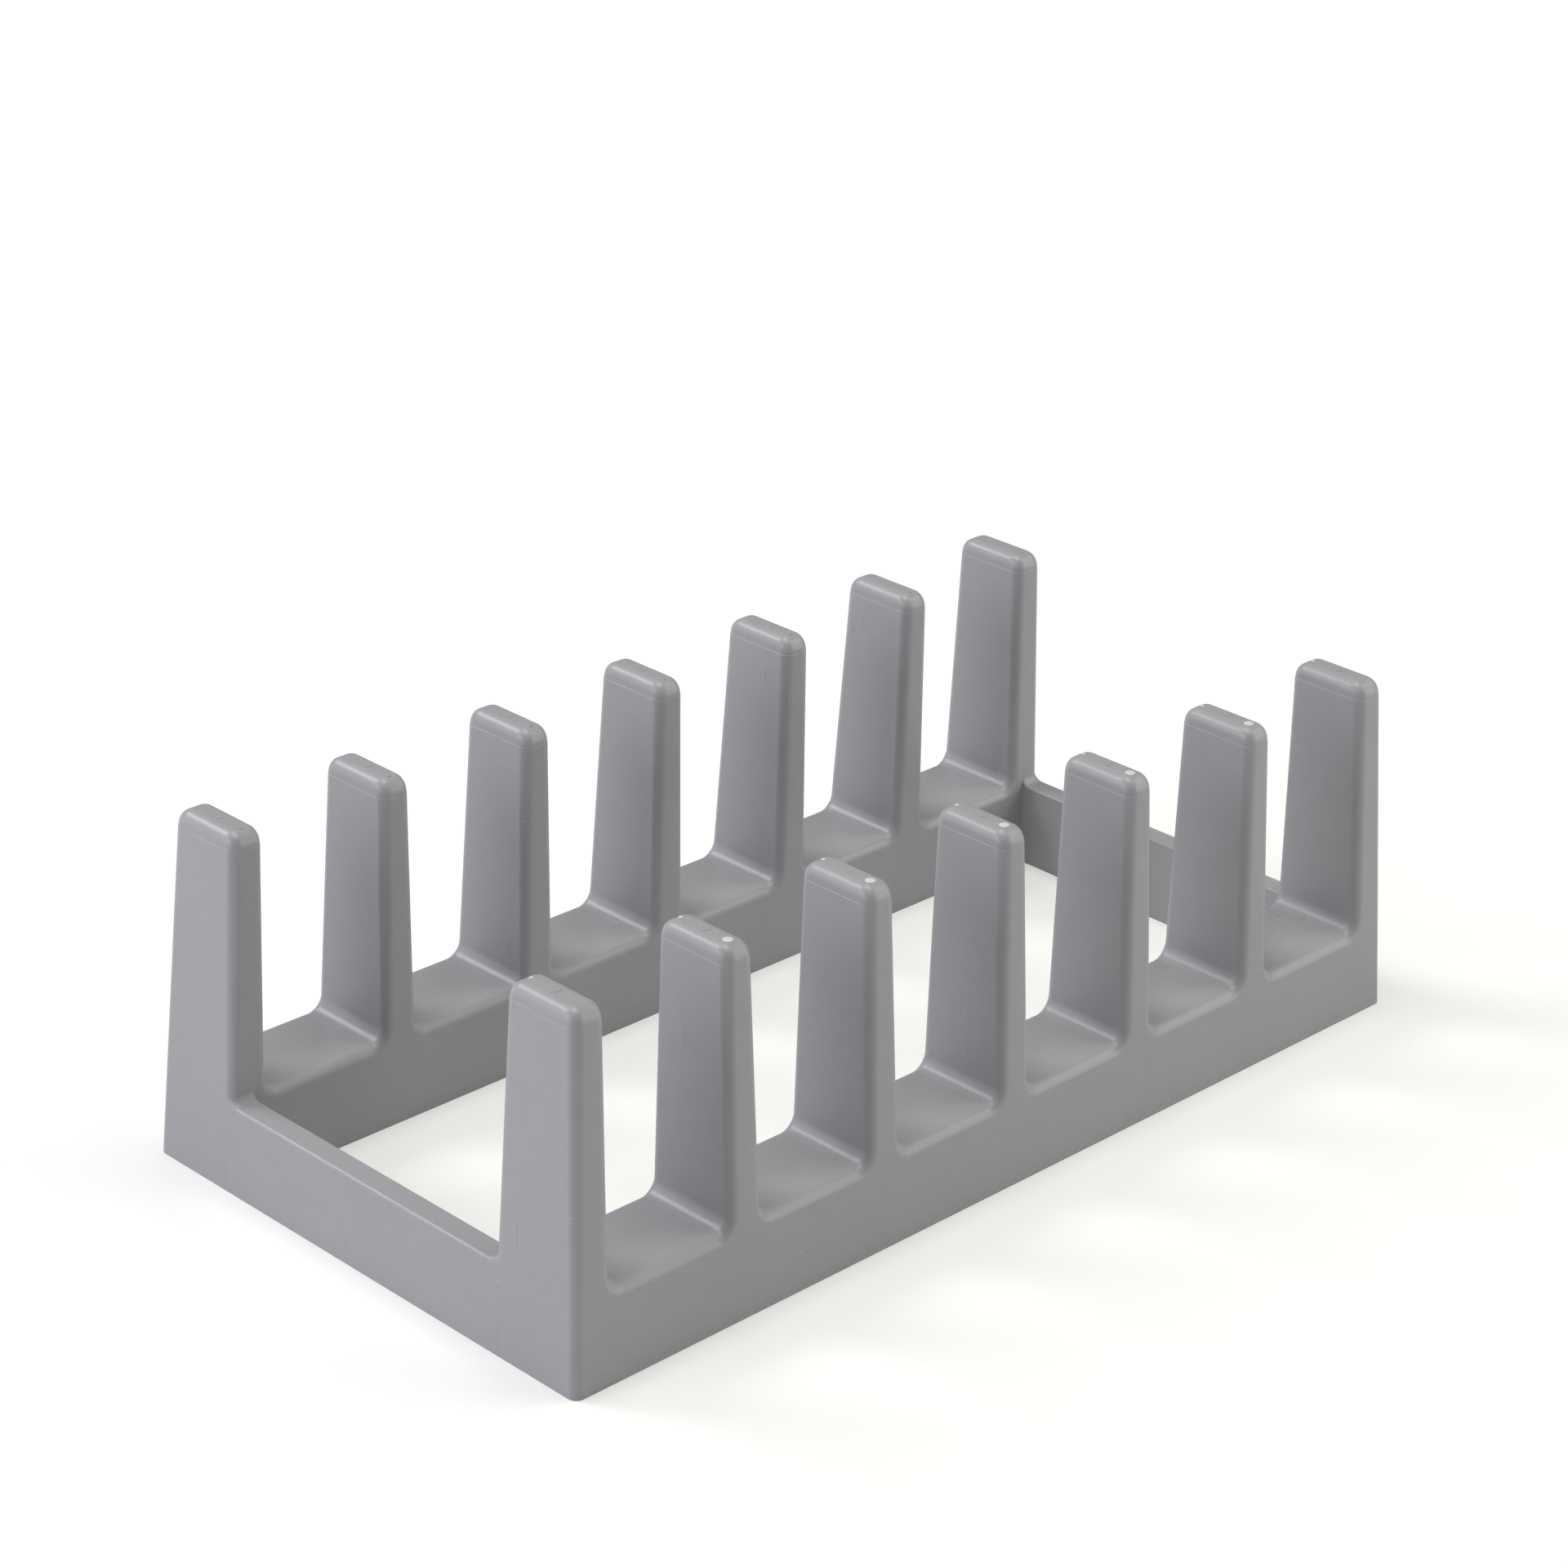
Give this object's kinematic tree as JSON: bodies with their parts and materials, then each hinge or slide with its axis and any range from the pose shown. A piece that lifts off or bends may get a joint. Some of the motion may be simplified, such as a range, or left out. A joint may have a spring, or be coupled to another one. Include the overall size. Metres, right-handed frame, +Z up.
{
  "type": "pot lid rack",
  "caption": "Open rectangular plastic rack with a row of tapered upright posts along each long side, which hold pot lids or plates on edge.",
  "frame": {"origin": "centre of the rack's footprint, on the surface that it stands on", "axes": "+X along the rack's length, +Y across it towards the left side rail, +Z up"},
  "size_m": [0.34, 0.18, 0.11],
  "materials": {
    "grey_plastic": "satin, light grey"
  },
  "bodies": {
    "root": {"near_end_rail": "grey_plastic", "far_end_rail": "grey_plastic", "left_side_rail": "grey_plastic", "right_side_rail": "grey_plastic", "left_post_1": "grey_plastic", "left_post_2": "grey_plastic", "left_post_3": "grey_plastic", "left_post_4": "grey_plastic", "left_post_5": "grey_plastic", "left_post_6": "grey_plastic", "left_post_7": "grey_plastic", "left_tip_1": "grey_plastic", "left_tip_2": "grey_plastic", "left_tip_3": "grey_plastic", "left_tip_4": "grey_plastic", "left_tip_5": "grey_plastic", "left_tip_6": "grey_plastic", "left_tip_7": "grey_plastic", "right_post_1": "grey_plastic", "right_post_2": "grey_plastic", "right_post_3": "grey_plastic", "right_post_4": "grey_plastic", "right_post_5": "grey_plastic", "right_post_6": "grey_plastic", "right_post_7": "grey_plastic", "right_tip_1": "grey_plastic", "right_tip_2": "grey_plastic", "right_tip_3": "grey_plastic", "right_tip_4": "grey_plastic", "right_tip_5": "grey_plastic", "right_tip_6": "grey_plastic", "right_tip_7": "grey_plastic"}
  },
  "joints": []
}
